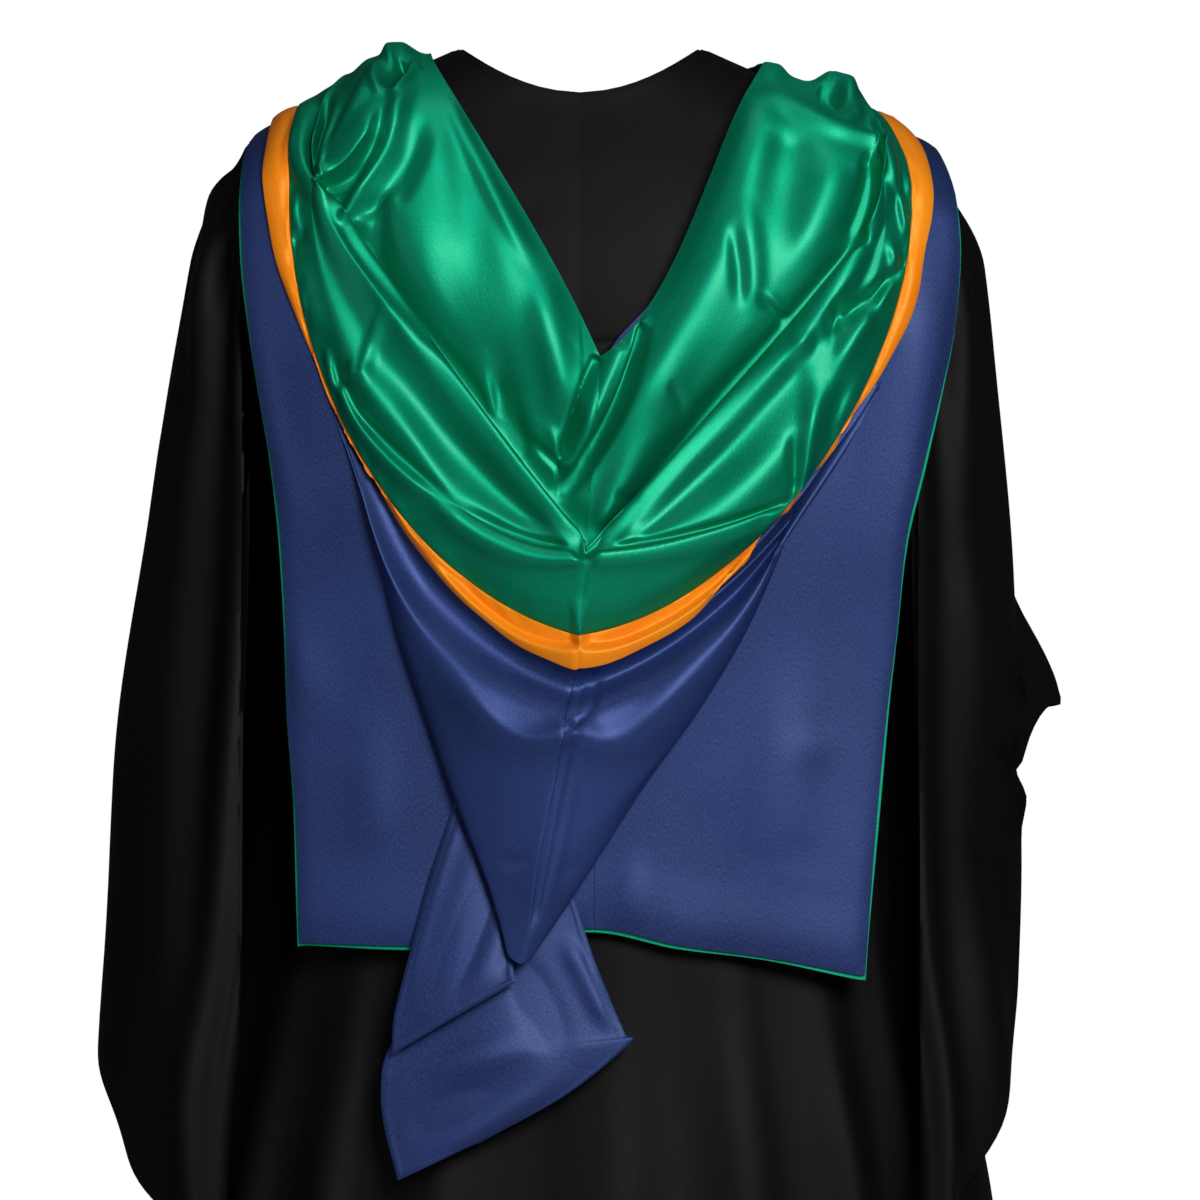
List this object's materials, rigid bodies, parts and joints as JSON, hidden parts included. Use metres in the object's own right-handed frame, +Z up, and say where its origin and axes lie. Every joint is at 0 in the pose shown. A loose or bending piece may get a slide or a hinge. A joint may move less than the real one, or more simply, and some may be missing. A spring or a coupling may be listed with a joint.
{
  "type": "graduation gown with academic hood",
  "caption": "Black academic gown with gathered back and bell sleeves, worn under a draped navy hood lined in green satin with an orange edge.",
  "frame": {"origin": "middle of the neck opening, level with the nape, where the wearer's neck and shoulders hold the gown up", "axes": "+Z up along the wearer's spine, +Y the way the wearer faces, +X to the right in the picture, so the hood and the back face -Y"},
  "size_m": [0.6818, 0.3528, 1.2337],
  "materials": {
    "black_cloth": "matt black gown cloth",
    "navy_satin": "navy satin with a fine grain and a soft sheen",
    "green_satin": "glossy green satin",
    "orange_satin": "orange satin"
  },
  "bodies": {
    "root": {"yoke_left": "black_cloth", "yoke_right": "black_cloth", "gown_back": "black_cloth", "gown_front_left": "black_cloth", "gown_front_right": "black_cloth", "sleeve_left": "black_cloth", "sleeve_right": "black_cloth", "cape_left": "navy_satin", "cape_right": "navy_satin", "cowl_left": "navy_satin", "cowl_right": "navy_satin", "tail_flap": "navy_satin", "tail_end": "navy_satin", "band_left": "navy_satin", "band_right": "navy_satin", "cape_lining_left": "green_satin", "cape_lining_right": "green_satin", "cowl_lining_left": "green_satin", "cowl_lining_right": "green_satin", "edging_left": "orange_satin", "edging_right": "orange_satin"}
  },
  "joints": []
}
